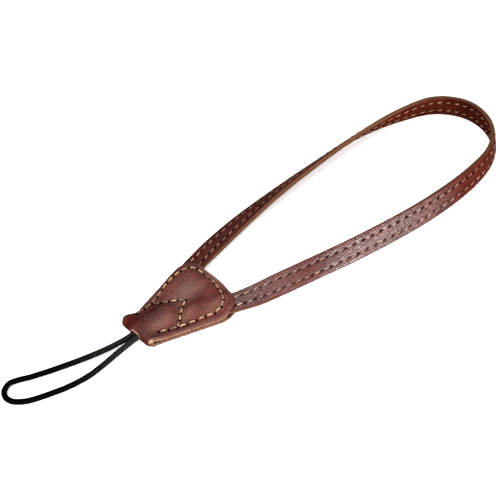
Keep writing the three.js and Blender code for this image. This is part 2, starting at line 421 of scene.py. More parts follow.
@dataclass(frozen=True)
class WaxedLeather:
    """Waxed leather: two browns in soft clouds, a fine pebbled grain and a soft sheen."""

    name: str
    deep: str = "3e100a"
    light: str = "531b11"
    pale: str = "c49a88"  # painted highlights on the tab's top, and where it is pulled or worn
    # pit: the colour of painted shade, in the needle holes and the tab's dark places
    pit: str = "040202"
    clouds: float = 70  # this and the next five are in features to the metre
    streak: float = 90
    sheen: float = 140
    crease: float = 420
    freckle: float = 700
    pebble: float = 1700
    freckles: float = 0.3  # how strongly they show
    streaks: float = 0.0
    hollows: float = 0.6  # how dark the pores are
    matt_pores: float = 0.6  # how much of its shine the leather loses in them
    grain: float = 0.00011  # depth of the pores, in metres
    crease_depth: float = 0.00008
    roughness: tuple[float, float] = (0.28, 0.4)
    gloss: float = 0.78
    coat: float = 0.04
    coat_roughness: float = 0.3

    def material(self) -> bpy.types.Material:
        """Makes the node material.

        Returns:
            The new material.
        """
        shader = Shader(self.name)
        place = shader.place()
        browns = shader.patches(place, self.clouds, 3, (0.35, 0.68))
        colour = shader.blend(browns, self.deep, self.light)
        freckles = shader.patches(place, self.freckle, 2, (0.3, 0.75))
        colour = shader.blend(shader.times(freckles, self.freckles), colour, self.deep)
        if self.streaks:
            drawn = shader.add("Mapping", {"Vector": place, "Scale": (1.0, 7.0, 1.0)}).outputs[0]
            marks = shader.patches(drawn, self.streak, 3, (0.42, 0.7), (0, self.streaks))
            colour = shader.blend(marks, colour, self.deep)
        # painted highlights and mottling on the tab's top, and paler round its hole's upper rim
        colour = shader.blend(shader.attribute("pale_share"), colour, self.pale)
        # painted shade in the needle holes and the tab's dark places, and darker along its pressed line
        colour = shader.blend(shader.attribute("pit"), colour, self.pit)
        pores = shader.patches(place, self.pebble, 2, (0.34, 0.66))
        colour = shader.blend(shader.times(pores, self.hollows), colour, self.pit)
        matt = shader.sum("MAXIMUM", shader.times(pores, self.matt_pores), shader.attribute("pit"))
        matt = shader.sum("MAXIMUM", matt, shader.attribute("matt"))
        grain = shader.relief(pores, -self.grain)
        creases = shader.relief(shader.clouds(place, self.crease, 3), self.crease_depth, grain)
        roughness = shader.patches(place, self.sheen, 2, (0.3, 0.7), self.roughness)
        return shader.finish(
            Base_Color=colour,
            Roughness=roughness,
            Normal=creases,
            Specular_IOR_Level=shader.ranged(matt, (0, 0.9), (self.gloss, 0)),
            Coat_Weight=self.coat,
            Coat_Roughness=self.coat_roughness,
        )


@dataclass(frozen=True)
class CutEdge:
    """The cut edge of leather: burnished dark at the grain, raw and tan in the middle."""

    name: str
    grain: str = "2e120d"
    raw: str = "7e4d31"
    inner: str = "1c0d08"
    cream: str = "a98d70"  # of fibres that are pulled open
    fibre: float = 1600  # this and the next one are in features to the metre
    streak: float = 900
    uneven: float = 0.16  # how far the fibres carry one colour into the next
    streaks: float = 0.35  # how strongly they show
    fibre_depth: float = 0.00012  # in metres
    roughness: float = 0.6
    gloss: float = 0.5

    def material(self) -> bpy.types.Material:
        """Makes the node material.

        Returns:
            The new material.
        """
        shader = Shader(self.name)
        place = shader.place()
        fibres = shader.clouds(place, self.fibre, 3)
        deep = shader.sum("ADD", shader.attribute("deep"), shader.times(fibres, self.uneven))
        raw = shader.blend(shader.attribute("raw"), self.grain, self.raw)
        colour = shader.blend(shader.ranged(deep, (0.42, 0.66)), self.grain, raw)
        colour = shader.blend(shader.ranged(deep, (0.86, 1.06)), colour, self.inner)
        colour = shader.blend(shader.attribute("pale_share"), colour, self.cream)
        streaks = shader.patches(place, self.streak, 2, (0.35, 0.7))
        colour = shader.blend(shader.times(streaks, self.streaks), colour, self.inner)
        return shader.finish(
            Base_Color=colour,
            Roughness=self.roughness,
            Normal=shader.relief(fibres, self.fibre_depth),
            Specular_IOR_Level=self.gloss,
        )


@dataclass(frozen=True)
class Thread:
    """Waxed thread, with dirt in its hollows."""

    name: str
    clean: str = "b08a5e"
    worn: str = "60402b"
    wear: float = 500  # this and the next one are in features to the metre
    fibre: float = 5000
    fibre_depth: float = 0.00005  # in metres
    roughness: float = 0.62

    def material(self) -> bpy.types.Material:
        """Makes the node material.

        Returns:
            The new material.
        """
        shader = Shader(self.name)
        place = shader.place()
        wear = shader.patches(place, self.wear, 2, (0.35, 0.7))
        colour = shader.blend(wear, self.clean, self.worn)
        fibres = shader.relief(shader.clouds(place, self.fibre, 2), self.fibre_depth)
        return shader.finish(Base_Color=colour, Roughness=self.roughness, Normal=fibres)


@dataclass(frozen=True)
class BraidedCord:
    """Black braided cord, with grey-green glints painted on the crowns of its strands."""

    name: str
    ground: str = "010101"
    # fibre: the colour of the glints painted on the strands' crowns
    fibre: str = "6c6b64"
    glint_sharpness: float = 10.0  # the higher, the narrower the painted glint on each strand
    fuzz: float = 2600  # fibres to the metre
    fuzz_depth: float = 0.00006  # in metres
    roughness: float = 0.4

    def material(self) -> bpy.types.Material:
        """Makes the node material.

        Returns:
            The new material.
        """
        shader = Shader(self.name)
        place = shader.place()
        # painted glints: the fibre colour laid on the strands' crowns
        crown = shader.sum("POWER", shader.attribute("crown"), self.glint_sharpness)
        fuzz = shader.clouds(place, self.fuzz, 2)
        painted_glint = shader.times(crown, shader.ranged(fuzz, (0.35, 0.65), (0.2, 1)))
        colour = shader.blend(painted_glint, self.ground, self.fibre)
        fibres = shader.relief(fuzz, self.fuzz_depth)
        return shader.finish(
            Base_Color=colour,
            Roughness=self.roughness,
            Normal=fibres,
            Specular_IOR_Level=shader.ranged(painted_glint, (0.15, 0.9), (0.0, 0.4)),
        )


@dataclass(frozen=True)
class Plain:
    """An even sheet that glows a little, for the floor."""

    name: str
    colour: str = "f4f3f1"
    roughness: float = 0.9
    glow: float = 0.5

    def material(self) -> bpy.types.Material:
        """Makes the node material.

        Returns:
            The new material.
        """
        return Shader(self.name).finish(
            Base_Color=self.colour,
            Roughness=self.roughness,
            Emission_Color=self.colour,
            Emission_Strength=self.glow,
        )


# === Thread ====================================================================================


class Stitch(NamedTuple):
    """One visible stitch: where it comes up and goes down, which way is out, and how thick it is."""

    start: Vector
    end: Vector
    out: Vector
    weight: float = 1.0


@dataclass
class Sewing:
    """A row of saddle stitches of one thread."""

    radius: float
    bulge: float  # how far the middle of a stitch stands out
    sink: float  # how far its ends dive into their holes
    taper: float = 0.1  # how much thinner a stitch ends than it starts
    turns: float = 1.5  # of its two yarns round each other
    yarns: tuple[float, float] = (0.86, 0.22)  # mean thickness, and the swing that the yarns give it
    reach: tuple[float, float] = (0.08, 0.92)  # part of the half wave that spaces its rings
    arch: float = 0.6  # this and the next two: the lower, the blunter its rise, dive and tips
    dive: float = 0.5
    tips: float = 0.35
    sides: int = 8
    rings: int = 7

    def sew(self, mesh: bmesh.types.BMesh, stitches: Sequence[Stitch]) -> None:
        """Adds the stitches to a mesh, each one a short length of two twisted yarns.

        Args:
            mesh: the mesh, in metres, that gets them.
            stitches: the stitches.
        """
        for stitch in stitches:
            made = bmesh.ops.create_uvsphere(
                mesh, u_segments=self.sides, v_segments=self.rings, radius=1
            )
            along = stitch.end - stitch.start
            side = along.cross(stitch.out).normalized()
            out = side.cross(along).normalized()
            girth = out * stitch.weight, side * stitch.weight
            for vert in made["verts"]:
                vert.co = self._place(vert.co, stitch.start, along, *girth) * MM

    def _place(
        self, on_ball: Vector, start: Vector, along: Vector, out: Vector, side: Vector
    ) -> Vector:
        """Where a point of the unit ball lies on the stitch.

        Args:
            on_ball: the point of the ball.
            start: where the stitch starts.
            along: from its start to its end.
            out: the way out of the leather, as long as the stitch is thick.
            side: the way across the stitch, of the same length.

        Returns:
            The place, in millimetres.
        """
        share = math.acos(max(-1.0, min(1.0, -on_ball.z))) / math.pi
        round_share = math.sin(math.pi * share)
        lift = self.bulge * round_share**self.arch - self.sink * (1 - round_share**self.dive)
        turn = math.atan2(on_ball.y, on_ball.x)
        twist = turn + 2 * math.pi * self.turns * share
        lobes = self.yarns[0] + self.yarns[1] * math.cos(2 * twist)
        radius = self.radius * lobes * round_share**self.tips
        radius *= mix(1 + self.taper, 1 - self.taper, share)
        return (
            start
            + along * (0.5 - 0.5 * math.cos(math.pi * mix(*self.reach, share)))
            + out * (lift + radius * math.sin(turn))
            + side * (radius * math.cos(turn))
        )


# === Cord ======================================================================================


@dataclass
class CordLoop:
    """The braided cord, one closed loop whose two ends run side by side into the tab."""

    diameter: float = 2.6
    carriers: int = 8  # strands that wind each way
    lay: float = 9.6  # length in which a strand goes once round
    relief: float = 0.24  # depth of the hollows between the strands
    under: float = 0.45  # height of a strand where it dives under another, to its crown's
    far_glint: float = 0.78  # how strong the painted glints are at the loop's far end
    glint_fade_run: tuple[float, float] = (-66, -26)  # x over which they come up to full
    sides: int = 48
    step: float = 0.24  # between the rings of the mesh
    route: tuple[tuple[float, float, float], ...] = (
        (-5, 1.4, 3.4), (-10.5, 1.4, 3.3), (-15.5, 1.4, 2.8), (-20.5, 1.4, 2.75),
        (-24.8, 1.7, 2.45), (-31.5, 3.3, 1.6), (-40.5, 5.6, 1.3), (-49, 8.1, 1.3),
        (-57.3, 10.9, 1.3), (-65.3, 14, 1.3), (-70.3, 16.4, 1.3), (-73.8, 17.3, 1.3),
        (-77, 15.2, 1.3), (-78.1, 11.7, 1.3), (-77.1, 8.1, 1.3), (-75, 5.6, 1.3),
        (-71.3, 3, 1.3), (-63, -0.2, 1.3), (-54.5, -2.6, 1.3), (-45.4, -3.5, 1.3),
        (-37, -2.6, 1.4), (-30.5, -1.8, 1.8), (-24.8, -1.6, 2.45), (-20.5, -1.4, 2.75),
        (-15.5, -1.4, 2.8), (-10.5, -1.4, 3.3), (-5, -1.4, 3.4),
    )  # fmt: skip

    def build(self, finish: BraidedCord) -> bpy.types.Object:
        """Makes the cord.

        Args:
            finish: what the cord looks like.

        Returns:
            The cord's object.
        """
        line = Line(smooth_through([Vector(p) for p in self.route], 24, centripetal=True))
        rings = round(line.length / self.step)
        mesh = bmesh.new()
        bmesh.ops.create_grid(mesh, x_segments=rings, y_segments=self.sides, size=0.5)
        crown = mesh.verts.layers.float.new("crown")
        frames = list(self._frames(line, rings))
        for vert in mesh.verts:
            ring = round((vert.co.x + 0.5) * rings)
            turn = 2 * math.pi * (vert.co.y + 0.5)
            centre, side, up = frames[ring]
            height = self._braid(line.length * ring / rings, turn)
            radius = self.diameter / 2 - self.relief * (1 - height)
            out = side * math.cos(turn) + up * math.sin(turn)
            vert.co = (centre + out * radius) * MM
            # the crown share also carries the painted glints, fainter towards the loop's far end
            near = rise(vert.co.x / MM, *self.glint_fade_run)
            vert[crown] = height * mix(self.far_glint, 1.0, near)
        bmesh.ops.remove_doubles(mesh, verts=mesh.verts[:], dist=TINY)
        bmesh.ops.holes_fill(mesh, edges=[e for e in mesh.edges if e.is_boundary], sides=0)
        piece = finished("cord", mesh, finish.material())
        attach(piece, "root")
        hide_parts("cord_loop")
        tuple(Vector(self.route[3]) * MM)
        [tuple(p * MM) for p in line.points[::4]]
        return piece

    def _frames(self, line: Line, rings: int) -> Iterator[tuple[Vector, Vector, Vector]]:
        """The middle of each ring, and two directions across it that never twist.

        Args:
            line: the cord's middle.
            rings: how many steps it is cut into.

        Returns:
            For one ring after another its middle, the way across and the way up.
        """
        up = UP.copy()
        for ring in range(rings + 1):
            distance = line.length * ring / rings
            heading = line.heading(distance)
            up = (up - heading * up.dot(heading)).normalized()
            yield line.at(distance), heading.cross(up), up

    def _braid(self, distance: float, turn: float) -> float:
        """How high the braid stands, from 0 in its hollows to 1 on a strand's crown.

        Args:
            distance: the distance along the cord.
            turn: the angle round it.

        Returns:
            The height there.
        """
        round_share = self.carriers * turn / (2 * math.pi)
        along = self.carriers * distance / self.lay
        one_way, other_way = along + round_share, along - round_share
        over = (math.floor(one_way) + math.floor(other_way)) % 2 == 0
        across, lengthways = (one_way, other_way) if over else (other_way, one_way)
        strand = math.sin(math.pi * (across % 1)) ** 0.5
        arch = math.sin(math.pi * (lengthways % 1)) ** 0.5
        return strand * mix(self.under, 1.0, arch)


# === Strap =====================================================================================


class Face(Enum):
    """The two plies of the strap, by the face that shows."""

    OUTER = 1
    INNER = -1


class Stance(NamedTuple):
    """How the band stands at one place: its middle, the way out of the outer ply, the way left."""

    centre: Vector
    normal: Vector
    across: Vector


@dataclass
class WristStrap:
    """The wrist loop: two plies sewn back to back in two rows."""

    width: float = 10.0
    ply: float = 1.16  # its thickness
    skived: float = 0.8  # thickness of a ply inside the tab
    seam_gap: float = 0.06  # between the two plies
    solid_total: float = 2.4  # thickness that the band's height above the surface is set by
    skive: tuple[float, float] = (15.5, 25.0)  # distances from the end over which it thickens
    rim: tuple[tuple[float, float], ...] = (
        (0.0, 0.0), (0.0, 0.3), (0.03, 0.62), (0.14, 0.86), (0.4, 1.0),
    )  # fmt: skip  # how far the cut edge is drawn in, at shares of the thickness
    shoulder: float = 0.22  # how far the face falls away towards its edges
    waves: float = 0.05  # height of its unevenness
    seam: float = 2.3  # of each row from the middle
    stitch: float = 4.5
    slant: float = 0.22  # of a stitch's ends, across the seam
    sewn_from: float = 8.0  # the first needle hole, from the end
    groove: float = 0.13  # depth that the thread has drawn the leather down to
    seat: float = 0.8  # share of the groove that the thread lies in
    pit: float = 0.5  # depth of a needle hole
    hole: tuple[float, float] = (1.0, 0.32)  # its reach along the seam and across it
    bite: tuple[float, float] = (0.2, 0.84)  # shares of the pitch that a stitch is seen between
    knot: float = 2.1  # thickness of the stitches that lock the near row at its two ends
    unsewn_cuts: int = 8  # cuts of the mesh before the first needle hole
    raw: float = 0.75  # how raw the cut edge is
    route: tuple[tuple[float, float, float, float], ...] = (
        (9, -11, 0, 1.9), (16, -13.4, 1, 1.85), (22, -15.5, 5, 1.4), (30.5, -18.1, 16, 0.3),
        (40, -20.6, 29, 0), (54.5, -24.2, 42, 0), (85.5, -30.3, 55, 0), (118, -33.5, 64, 0),
        (144.5, -32, 76, 0), (160.5, -27.4, 87, 0), (170.8, -19.5, 88, 0), (177.2, -7.3, 92, 0),
        (177.9, 6.4, 96, 0), (170.7, 19.3, 89, 0), (154.6, 26.4, 69, 0), (131.5, 30.4, 49, 0),
        (102, 29.7, 38, 0), (74.5, 27.6, 27, 0), (50.5, 24.6, 11, 0.1), (37, 21.6, 4, 0.6),
        (23, 17.1, 1, 1.6), (16.5, 14.6, 0, 1.85), (9.3, 11.7, 0, 1.9),
    )  # fmt: skip
    line: Line = field(init=False)
    turns: list[Vector] = field(init=False)
    pitch: float = field(init=False)
    stitches: int = field(init=False)

    def __post_init__(self) -> None:
        """Lays the route out and fits a whole number of stitches to it."""
        flat = [Vector((x, y, 0)) for x, y, _, _ in self.route]
        self.line = Line(smooth_through(flat, 40, centripetal=True))
        turns = [Vector((tilt, lift, 0)) for _, _, tilt, lift in self.route]
        self.turns = smooth_through(turns, 40, centripetal=False)
        sewn = self.line.length - 2 * self.sewn_from
        self.stitches = round(sewn / self.stitch)
        self.pitch = sewn / self.stitches

    def stance(self, distance: float) -> Stance:
        """How the band stands at a distance along it.

        Args:
            distance: the distance along the band.

        Returns:
            Its middle and its two directions there.
        """
        span, share = self.line.place(distance)
        tilt, lift, _ = self.turns[span].lerp(self.turns[span + 1], share)
        turn = math.radians(tilt)
        height = lift + self.width / 2 * abs(math.sin(turn))
        height += self.solid_total / 2 * abs(math.cos(turn))
        along = self.line.heading(distance)
        normal = UP * math.cos(turn) + along.cross(UP) * math.sin(turn)
        return Stance(self.line.at(distance) + UP * height, normal, normal.cross(along))

    def thickness(self, distance: float) -> float:
        """How thick a ply is at a distance along the band."""
        from_end = min(distance, self.line.length - distance)
        return mix(self.skived, self.ply, rise(from_end, *self.skive))

    def relief(self, distance: float, across: float) -> tuple[float, float]:
        """What the sewing does to the face of a ply.

        Args:
            distance: the distance along the band.
            across: the distance from its middle, positive to its left.

        Returns:
            How far the face is drawn down, and how much of a needle hole there is, from 0 to 1.
        """
        row = math.copysign(self.seam, across)
        off = across - row
        place = (distance - self.sewn_from) / self.pitch
        hole = round(place)
        if not 0 <= hole <= self.stitches:
            return 0.0, 0.0
        away = (place - hole) * self.pitch
        leaning = off - self.slant * away
        pit = bump(away, self.hole[0]) * bump(leaning, self.hole[1])
        pucker = 0.55 + 0.45 * bump(away, 1.1)
        return self.groove * bump(off, 0.55) * pucker + self.pit * pit, min(1.0, 1.7 * pit)

    def ply_piece(
        self, face: Face, name: str, node: str, slot: str, *finishes: WaxedLeather | CutEdge
    ) -> bpy.types.Object:
        """Makes one ply.

        Args:
            face: which of the two plies.
            name: the name of the piece.
            node: the solid that it stands for.
            slot: a material slot's name, which is not used.
            finishes: its leather and its cut edge.

        Returns:
            The ply's object.
        """
        columns = self._columns()
        rows = self._rows()
        stances = [self.stance(d) for d in columns]
        top = len(self.rim) - 1
        lattice = Lattice(len(columns) - 1, len(rows) - 1, top)
        half = self.width / 2

        def station(cell: Cell) -> tuple[int, float, int]:
            """The column, the distance from the middle and the layer of a cell.

            Args:
                cell: the vertex's place in the lattice.

            Returns:
                The three, the distance in millimetres.
            """
            column = round(cell.along * (len(columns) - 1))
            row = round(cell.across * (len(rows) - 1))
            return column, rows[row], round(cell.deep * top)

        def place(cell: Cell) -> Vector:
            """Where a cell lies.

            Args:
                cell: the vertex's place in the lattice.

            Returns:
                The place, in millimetres.
            """
            column, across, layer = station(cell)
            inset, deep = self.rim[layer]
            share = across / half
            across *= (half - inset) / half
            height = deep * self.thickness(columns[column])
            if layer == top:
                drawn, _ = self.relief(columns[column], across)
                height -= drawn + self.shoulder * abs(share) ** 7
                uneven = noise.noise(Vector((columns[column] / 6, across / 4, face.value)))
                height += self.waves * uneven
            height += self.seam_gap / 2
            stance = stances[column]
            return stance.centre + stance.across * across + stance.normal * (face.value * height)

        def pit(cell: Cell) -> float:
            """How much painted shade a needle hole gets, which shows less on the lining.

            Args:
                cell: the vertex's place in the lattice.

            Returns:
                The share of painted shade, from 0 to 1.
            """
            column, across, layer = station(cell)
            share = 1.0 if face is Face.OUTER else 0.5
            return share * self.relief(columns[column], across)[1] if layer == top else 0.0

        def matt(cell: Cell) -> float:
            """How matt the band is: near its root, and from about a third of the way on."""
            return 0.76 * rise(cell.along, 0.24, 0.36) + 0.55 * bump(cell.along - 0.12, 0.045)

        lattice.shape(place)
        lattice.mark("pit", pit)
        lattice.mark("pale_share", lambda cell: 0.0)
        lattice.mark("matt", matt)
        lattice.mark("deep", lambda cell: 1 - self.rim[station(cell)[2]][1])
        lattice.mark("raw", lambda cell: self.raw)
        lattice.dress(lambda cell: 0 if within(cell.across) and within(cell.along) else 1)
        piece = finished(name, lattice.mesh, *(finish.material() for finish in finishes))
        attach(piece, "root")
        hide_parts(node)
        return piece

    def _columns(self) -> list[float]:
        """Distances along the band at which its mesh is cut, closest at the needle holes.

        Returns:
            The distances, in order.
        """
        shares = (0.0, 0.07, 0.15, 0.27, 0.42, 0.58, 0.73, 0.85, 0.93)
        plain = [self.sewn_from * i / self.unsewn_cuts for i in range(self.unsewn_cuts)]
        sewn = [
            self.sewn_from + self.pitch * (stitch + share)
            for stitch in range(self.stitches)
            for share in shares
        ]
        return [*plain, *sewn, *(self.line.length - d for d in reversed([*plain, self.sewn_from]))]

    def _rows(self) -> list[float]:
        """Distances from the band's middle at which its mesh is cut, closest at the seams.

        Returns:
            The distances, from right to left.
        """
        offsets = (-1.0, -0.55, -0.3, 0.0, 0.3, 0.55, 1.0)
        half = self.width / 2
        right = [*(self.seam + o for o in offsets), 3.9, 4.4, half - 0.3, half]
        return [*(-r for r in reversed(right)), 0.0, *right]

    def sewing(self, sewing: Sewing, *finishes: Thread) -> bpy.types.Object:
        """Makes the thread of both rows, on both faces.

        Args:
            sewing: the size of its stitches.
            finishes: what the thread looks like on each face.

        Returns:
            The thread's object.
        """
        mesh = bmesh.new()
        for slot, face in enumerate(Face):
            before = len(mesh.faces)
            for row in (-self.seam, self.seam):
                sewing.sew(mesh, list(self._row_of_stitches(face, row)))
            for sewn in mesh.faces[before:]:
                sewn.material_index = slot
        piece = finished("strap_stitching", mesh, *(finish.material() for finish in finishes))
        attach(piece, "root")
        return piece

    def _row_of_stitches(self, face: Face, row: float) -> Iterator[Stitch]:
        """The stitches of one row on one face.

        Args:
            face: the ply whose face they show on.
            row: the row's distance from the middle.

        Returns:
            One stitch after another.
        """
        for number in range(self.stitches):
            ends = []
            for share, lean in zip(self.bite, (-1, 1), strict=True):
                distance = self.sewn_from + self.pitch * (number + share)
                stance = self.stance(distance)
                height = self.seam_gap / 2 + self.thickness(distance) - self.groove * self.seat
                across = row + lean * self.slant * face.value
                ends.append(
                    stance.centre + stance.across * across + stance.normal * (face.value * height)
                )
            middle = self.stance(self.sewn_from + self.pitch * (number + 0.5))
            locking = face is Face.OUTER and row < 0 and number in (1, self.stitches - 2)
            yield Stitch(*ends, middle.normal * face.value, self.knot if locking else 1.0)


# === Tab =======================================================================================


@dataclass
class FoldedTab:
    """One piece of leather folded over at the nose, with the strap's ends sewn between its flaps."""

    leather: float = 2.1
    length: float = 44.2
    nose_x: float = -20.5
    nose_half_width: float = 7.5
    side_slope: float = 0.356  # how fast the sides spread, to each side
    flare: float = 1.9  # how far the fold bulges past the sides
    flare_left: float = 1.5  # how much more it does so on the left
    end_bow: float = 4.9  # how far the wide end is bowed
    corner: tuple[float, float] = (0.6, 8.4)  # share of the half-width it starts at, and depth
    nose_corner: tuple[float, float] = (0.86, 0.8)
    nose_skew: float = 0.9  # how far the left of the fold is ahead of its middle
    roll: float = 2.7  # depth of the fold, from its front to where the flaps start
    slot: float = 0.6  # the same of its inside
    gap: float = 0.14  # between the flaps
    fold_gap: float = 1.1  # between them at the fold
    throat: tuple[float, float] = (4, 9)  # distances from the nose over which the hole becomes the channel
    swell: tuple[float, float] = (3, 9)  # and over which the fold's fullness dies away
    hole_height: float = 2.8
    hole_spacing: float = 2.8
    hole_radius: float = 1.42
    cutter_reach: float = 4.2  # of the body that cuts the hole, to each side of the nose
    strap_width: float = 10.0
    strap_room: float = 2.6  # thickness that the pockets leave for the strap's ends
    pocket_depth: float = 0.5  # of each pocket in the lower flap
    pocket_root: tuple[float, float] = (6.0, 2.6)  # over which it starts, from the strap's end
    cord_bed: float = 0.25  # depth of the cord's channel in the lower flap
    cord_roof: float = 4.9  # height of the channel's roof
    cord_reach: float = 2.8  # of the channel to each side
    cord_tip: tuple[float, float, float] = (25.6, 1.6, 7)  # where it ends, how round, how soft
    padding: float = 0.3  # what the sewn flaps are thicker than two leathers
    nose_rise: float = 0.9  # how much thicker they are at the fold
    belly: float = 1.1  # how far the top stands up between the strap's ends
    press: float = 1.1  # how far it is pressed down at its sides
    strap_top: float = 5.9  # height of the top over the strap's ends
    cord_top: float = 6.8  # and over the cord
    floor_gap: float = 0.02  # how far the underside is clear of the surface
    near_end: tuple[float, float, float, float] = (9, -11, 22, -15.5)  # x, y at root and mouth
    far_end: tuple[float, float, float, float] = (9.3, 11.7, 23, 17.1)
    crease: float = 1.5  # of the line pressed along the edge, from the edge
    painted_light_and_mottling: tuple[tuple[float, float, float, float, float], ...] = (
        (-9, -4.2, 7, 3, 0.1), (9.5, 3.5, 8, 5, 0.16), (2, -8, 4, 3, 0.12),
        (3.8, -3.9, 4.5, 2.2, -0.2), (13, -13, 6, 3, 0.12), (22.5, 2, 1.6, 8, 0.16),
        (-3, 11.4, 6, 1, 0.1), (-7.5, 3.8, 7, 3, -0.3), (-18.5, 6.5, 4, 3.5, -0.2),
        (11, -5, 4, 2.4, -0.25),
    )  # x, y and reach of each painted highlight (+) or painted shade (-) on the top, with some mottling, and how strong it is
    stitch: float = 4.1
    hole_margin: float = 0.45  # from a needle hole to where the stitch is seen
    thread_sink: float = 0.3  # how far the thread lies in the top
    thread_below: float = 0.7  # height of the thread on the underside
    border_seam: tuple[tuple[float, float], ...] = (
        (-12.1, -6.9), (-7, -9.3), (-1.6, -11.4), (5.5, -14.1), (11.2, -16), (14.4, -15.6),
        (17.1, -13.6), (18.7, -11.2), (20, -7.3), (21, -2.4), (21.2, 3.6), (20.5, 9.6),
        (18.8, 13.8), (15.9, 15.7), (12.6, 15.4), (8.6, 14.9), (4.2, 13.7), (-0.4, 11.9),
        (-5.7, 9.3), (-9.8, 8.9), (-13.8, 8.9),
    )  # fmt: skip
    arrow_near: tuple[tuple[float, float], ...] = ((-4.8, -10.3), (-2.1, -7.8), (1.2, -4), (6, -0.6))
    arrow_far: tuple[tuple[float, float], ...] = ((6, -0.6), (3.3, 2.2), (-0.1, 4.9), (-5.6, 9.1))
    steps: tuple[int, int, int] = (124, 12, 60)  # along the upper flap, the fold, the lower flap
    across_steps: int = 112
    side_steps: int = 40  # of the outline's sides
    end_steps: int = 60  # of each half of its wide end
    rim: tuple[tuple[float, float], ...] = (
        (0.45, 0.0), (0.05, 0.1), (-0.18, 0.3), (-0.25, 0.52), (-0.2, 0.85), (0.05, 1.0),
    )  # fmt: skip  # how far the cut edge is drawn in, at shares of the leather's thickness
    seams: list[Line] = field(init=False)
    holes: KDTree = field(init=False)
    thread: KDTree = field(init=False)
    edge: KDTree = field(init=False)

    def __post_init__(self) -> None:
        """Lays out the seams."""
        self.seams = [self._seam(r) for r in (self.border_seam, self.arrow_near, self.arrow_far)]
        self.thread = self._tree([p for seam in self.seams for p in self._walk(seam, 0.2)])
        self.holes = self._tree([p for seam in self.seams for p in self._walk(seam, self.stitch)])
        self.edge = self._tree(self._outline(0.0))

    @staticmethod
    def _tree(points: Sequence[Vector]) -> KDTree:
        """Points that the nearest is asked of.

        Args:
            points: the points.

        Returns:
            The tree that finds them.
        """
        tree = KDTree(len(points))
        for number, point in enumerate(points):
            tree.insert(point, number)
        tree.balance()
        return tree

    @staticmethod
    def _walk(line: Line, step: float) -> list[Vector]:
        """Points along a line, about a step apart, both ends included."""
        count = max(1, round(line.length / step))
        return [line.at(line.length * i / count) for i in range(count + 1)]

    # --- Outline -------------------------------------------------------------------------------

    def _flare(self, back: float) -> float:
        """How much the fold bulges past the sides."""
        return fall(back, 0.5, 8)

    def _half_width(self, back: float) -> float:
        """Half the tab's width at a distance behind its nose."""
        return self.nose_half_width + self.side_slope * back + self.flare * self._flare(back)

    def _across(self, back: float, share: float) -> float:
        """Distance to the left of the middle at a share of the half-width."""
        return share * self._half_width(back) + self.flare_left * self._flare(back)

    @staticmethod
    def _setback(share: float, start: float, depth: float) -> float:
        """How far a rounded corner draws the outline back."""
        across = max(0.0, (abs(share) - start) / (1 - start))
        return depth * (1 - math.sqrt(max(0.0, 1 - across * across)))

    def _wide_end(self, share: float) -> float:
        """Where the wide end lies behind the nose at a share of the half-width."""
        return self.length - self.end_bow * share * share - self._setback(share, *self.corner)

    def _front(self, share: float) -> float:
        """Where the fold's front lies behind the nose at a share of the half-width."""
        return self._setback(share, *self.nose_corner) - self.nose_skew * share

    def _outline(self, inset: float) -> list[Vector]:
        """The outline from the near end of the fold round the wide end to the far end of the fold.

        Args:
            inset: how far the points are drawn in from it.

        Returns:
            The points, in millimetres behind the nose and to its left.
        """
        near_fold, far_fold = (self._front(side) + self.roll for side in (-1, 1))
        corner = self._wide_end(1)
        sides, ends = self.side_steps, self.end_steps
        near = [mix(near_fold, corner, i / sides) for i in range(sides)]
        far = [mix(corner, far_fold, i / sides) for i in range(1, sides + 1)]
        shares = [math.sin(math.pi / 2 * (i / ends - 1)) for i in range(2 * ends + 1)]
        points = [
            *(Vector((b, self._across(b, -1), 0)) for b in near),
            *(Vector((self._wide_end(s), self._across(self._wide_end(s), s), 0)) for s in shares),
            *(Vector((b, self._across(b, 1), 0)) for b in far),
        ]
        if not inset:
            return points
        ahead = [*points[1:], 2 * points[-1] - points[-2]]
        behind = [2 * points[0] - points[1], *points[:-1]]
        runs = ((a - b).normalized() for a, b in zip(ahead, behind, strict=True))
        return [p + UP.cross(run) * inset for p, run in zip(points, runs, strict=True)]

    # --- Heights -------------------------------------------------------------------------------

    def _off_strap(self, back: float, y: float) -> float:
        """Distance across the tab to the middle of the strap end on that side.

        Args:
            back: the distance behind the nose.
            y: the distance to the left of the middle.

        Returns:
            The distance, never below 0.
        """
        root_x, root_y, mouth_x, mouth_y = self.near_end if y < 0 else self.far_end
        along = (back + self.nose_x - root_x) / (mouth_x - root_x)
        return abs(y - mix(root_y, mouth_y, along))

    def _pocket(self, back: float, y: float, soft: float) -> float:
        """1 over a strap end, 0 away from it.

        Args:
            back: the distance behind the nose.
            y: the distance to the left of the middle.
            soft: how much softer than its walls the answer comes up.

        Returns:
            The share of the pocket that is there.
        """
        root = self.near_end[0] - self.nose_x
        half = self.strap_width / 2
        across = fall(self._off_strap(back, y), half + 0.6 - soft, half + 1.6 + soft)
        start, full = self.pocket_root
        return across * rise(back, root - start - 2 * soft, root - full + soft)

    def _channel(self, back: float, y: float, soft: float) -> float:
        """1 over the cord's ends, 0 away from them.

        Args:
            back: the distance behind the nose.
            y: the distance to the left of the middle.
            soft: how much softer than its walls the answer comes up.

        Returns:
            The share of the channel that is there.
        """
        reach = self.cord_reach
        end, roundness, run = self.cord_tip
        tip = end - math.hypot(y, roundness)
        return fall(abs(y), reach, reach + 1.2 + 1.6 * soft) * fall(back, tip - run, tip)

    def _gap(self, back: float) -> float:
        """Gap between the flaps where nothing lies between them."""
        return mix(self.gap, self.fold_gap, fall(back, *self.swell))

    def _lower_inner(self, back: float, y: float) -> float:
        """Height of the lower flap's inner face.

        Args:
            back: the distance behind the nose.
            y: the distance to the left of the middle.

        Returns:
            The height above the surface.
        """
        bed = self.leather - self.cord_bed
        floor = mix(self.hole_height - self.hole_radius, bed, rise(back, *self.throat))
        groove = (self.leather - floor) * self._channel(back, y, 0)
        return self.leather - max(groove, self.pocket_depth * self._pocket(back, y, 0))

